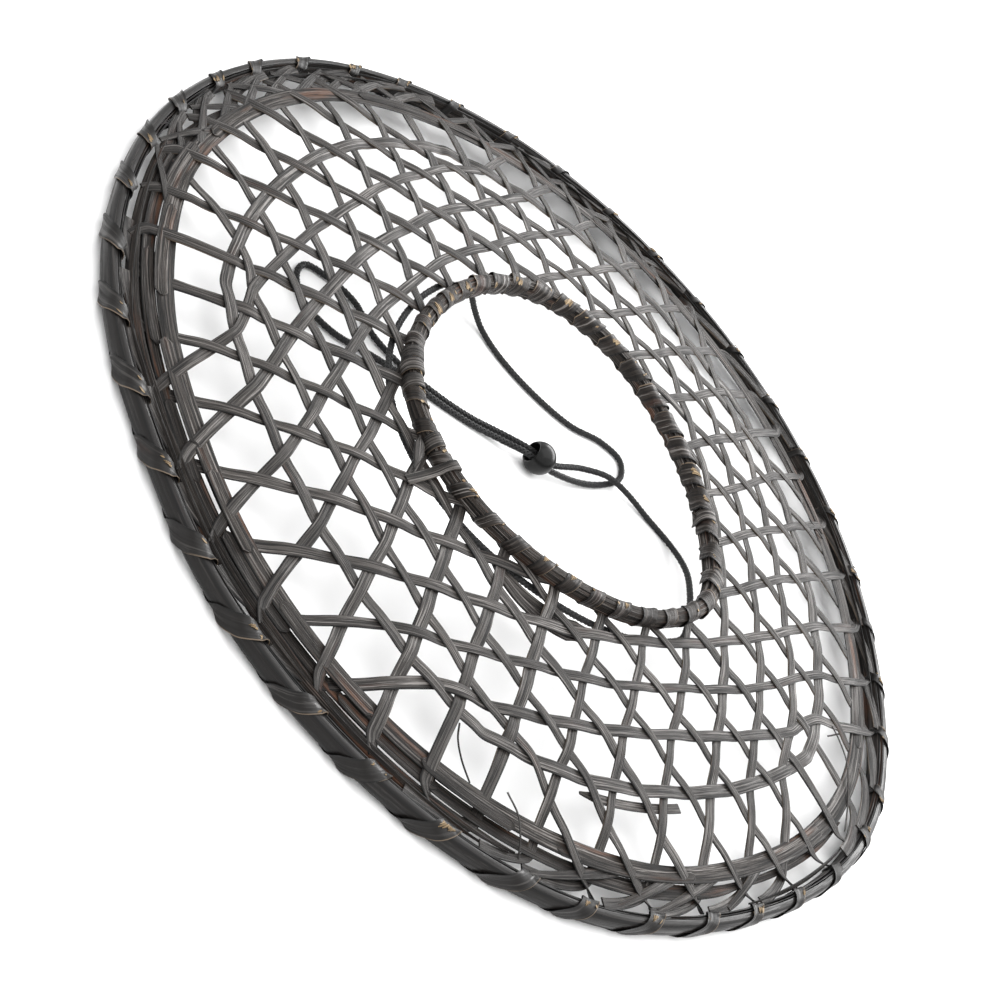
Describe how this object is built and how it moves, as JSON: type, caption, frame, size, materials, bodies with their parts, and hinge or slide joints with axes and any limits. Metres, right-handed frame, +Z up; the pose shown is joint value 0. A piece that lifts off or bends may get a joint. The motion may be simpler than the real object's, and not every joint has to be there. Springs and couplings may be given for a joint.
{
  "type": "hat",
  "caption": "Low domed hat of open-weave dark bamboo, with a raised collar round an open head hole, a lashed rim and a braided chin cord through a round bead.",
  "frame": {"origin": "on the surface that the hat rests on, under the middle of the rim", "axes": "+Z up through the head opening, +X along the straight stretch of free cord towards its right-hand drop, +Y away from the side that the picture was taken from"},
  "size_m": [0.46, 0.46, 0.0309],
  "materials": {
    "strip": "satin",
    "hoop": "satin",
    "splint": "matte",
    "cord": "matte",
    "bead": "gloss"
  },
  "bodies": {
    "root": {"woven_net": "strip", "brim_band": "splint", "rim_outer_hoop": "hoop", "rim_inner_hoop": "splint", "rim_lashing": "strip", "collar_inner_hoop": "splint", "collar_outer_hoop": "splint", "collar_lashing": "strip", "chin_cord": "cord", "collar_cord": "cord", "slider_bead": "bead"}
  },
  "joints": []
}
